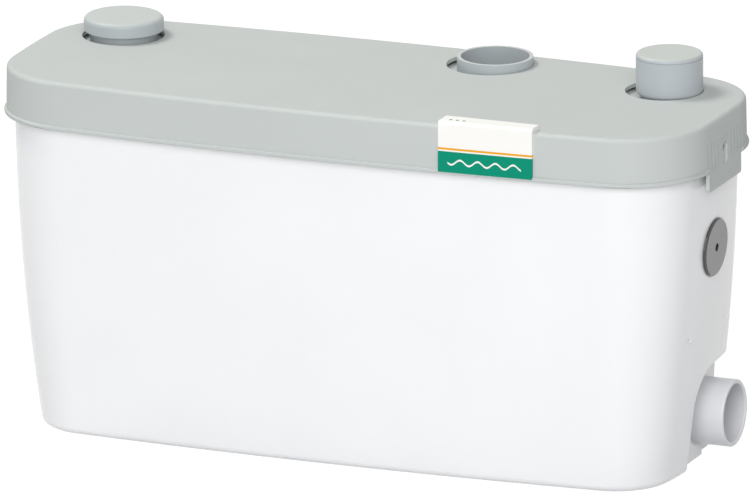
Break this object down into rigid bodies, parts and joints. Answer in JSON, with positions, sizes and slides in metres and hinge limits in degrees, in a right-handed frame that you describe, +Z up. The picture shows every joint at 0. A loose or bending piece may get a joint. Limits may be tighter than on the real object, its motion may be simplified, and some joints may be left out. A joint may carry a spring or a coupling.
{
  "type": "sewage lifting unit",
  "caption": "Compact lifting unit: tapered tank with overhanging lid, top ports with plug and cap, side pipe inlet, expanding plug, and an enclosed pump with level switch and non-return valves.",
  "frame": {"origin": "middle of the tank's flat base, on the floor", "axes": "+X along the length towards the side inlet, -Y towards the front, +Z up"},
  "size_m": [0.4444, 0.1678, 0.2414],
  "materials": {
    "tank_white": "smooth moulded white plastic, soft gloss",
    "pipe_white": "smooth moulded white plastic",
    "lid_grey": "fine satin grey plastic",
    "cover_grey": "satin grey plastic",
    "port_grey": "satin grey plastic",
    "badge_white": "glossy white badge plate",
    "plug_metal": "brushed stainless steel with a bright edge",
    "steel": "plain stainless steel",
    "core_steel": "stacked sheet steel",
    "shield_aluminium": "as-cast aluminium",
    "winding_copper": "enamelled copper",
    "rubber_black": "black rubber",
    "dark_plastic": "dark grey plastic",
    "carbon_felt": "active carbon pad"
  },
  "bodies": {
    "root": {"tank": "tank_white", "side_inlet_spigot": "pipe_white", "tank_cover": "cover_grey", "top_inlet_socket": "port_grey", "pressure_stub": "port_grey", "cover_gasket": "rubber_black", "side_inlet_seal": "rubber_black", "top_inlet_seal": "rubber_black", "discharge_hose": "rubber_black", "air_tube": "rubber_black", "switch_diaphragm": "rubber_black", "shaft_seal": "rubber_black", "cover_screws": "steel", "motor_screws": "steel", "pump_screws": "steel", "side_inlet_screws": "steel", "top_housing_screws": "steel", "hose_clips": "steel", "side_flap_pin": "steel", "top_flap_pin": "steel", "check_valve_pin": "steel", "motor_housing": "steel", "upper_bearing": "steel", "lower_bearing": "steel", "stator_core": "core_steel", "motor_top_shield": "shield_aluminium", "seal_housing": "shield_aluminium", "stator_windings": "winding_copper", "volute_casing": "dark_plastic", "intake_strainer": "dark_plastic", "air_bell": "dark_plastic", "control_tray": "dark_plastic", "pressure_switch_body": "dark_plastic", "microswitch": "dark_plastic", "terminal_block": "dark_plastic", "check_valve_body": "dark_plastic", "top_flap_housing": "dark_plastic", "filter_grid": "dark_plastic", "cable_gland": "dark_plastic", "gland_nut": "dark_plastic", "capacitor": "shield_aluminium", "carbon_filter": "carbon_felt"},
    "lid": {"lid": "lid_grey", "lid_catch": "dark_plastic", "badge_plate": "badge_white"},
    "inlet_plug": {"inlet_plug": "port_grey", "inlet_plug_ring": "rubber_black"},
    "discharge_cap": {"discharge_cap": "port_grey"},
    "side_plug": {"side_plug_disc": "plug_metal", "side_plug_rubber": "rubber_black", "side_plug_back_plate": "steel", "side_plug_screw": "plug_metal"},
    "pump_rotor": {"rotor": "core_steel", "pump_shaft": "steel", "impeller": "dark_plastic", "impeller_nut": "steel"},
    "side_flap": {"side_inlet_flap": "rubber_black"},
    "top_flap": {"top_inlet_flap": "rubber_black"},
    "outlet_flap": {"check_valve_flap": "rubber_black"},
    "plunger": {"switch_plunger": "dark_plastic"}
  },
  "joints": [
    {"name": "lid_lift", "type": "slide", "parent": "root", "child": "lid", "axis": [0, 0, 1], "range_m": [0, 0.08]},
    {"name": "inlet_plug_pull", "type": "slide", "parent": "root", "child": "inlet_plug", "axis": [0, 0, 1], "range_m": [0, 0.04]},
    {"name": "discharge_cap_pull", "type": "slide", "parent": "root", "child": "discharge_cap", "axis": [0, 0, 1], "range_m": [0, 0.03]},
    {"name": "side_plug_pull", "type": "slide", "parent": "root", "child": "side_plug", "axis": [0.9983, 0, -0.0586], "range_m": [0, 0.025]},
    {"name": "pump_spin", "type": "hinge", "parent": "root", "child": "pump_rotor", "pos_m": [-0.02, 0.0113, 0.1], "axis": [0, 0, 1], "continuous": true},
    {"name": "side_flap_swing", "type": "hinge", "parent": "root", "child": "side_flap", "pos_m": [0.17485, 0.028, 0.0512], "axis": [0, 1, 0], "range_deg": [0, 50]},
    {"name": "top_flap_swing", "type": "hinge", "parent": "root", "child": "top_flap", "pos_m": [0.0534, 0.0318, 0.17945], "axis": [-1, 0, 0], "range_deg": [0, 60], "stiffness_Nm_per_rad": 0.02, "springref_deg": -17.19},
    {"name": "outlet_flap_swing", "type": "hinge", "parent": "root", "child": "outlet_flap", "pos_m": [0.1558, 0.0382, 0.16005], "axis": [0, -1, 0], "range_deg": [0, 60]},
    {"name": "plunger_press", "type": "slide", "parent": "root", "child": "plunger", "axis": [0, 0, 1], "range_m": [0, 0.0015], "stiffness_N_per_m": 200, "springref_m": -0.001}
  ]
}
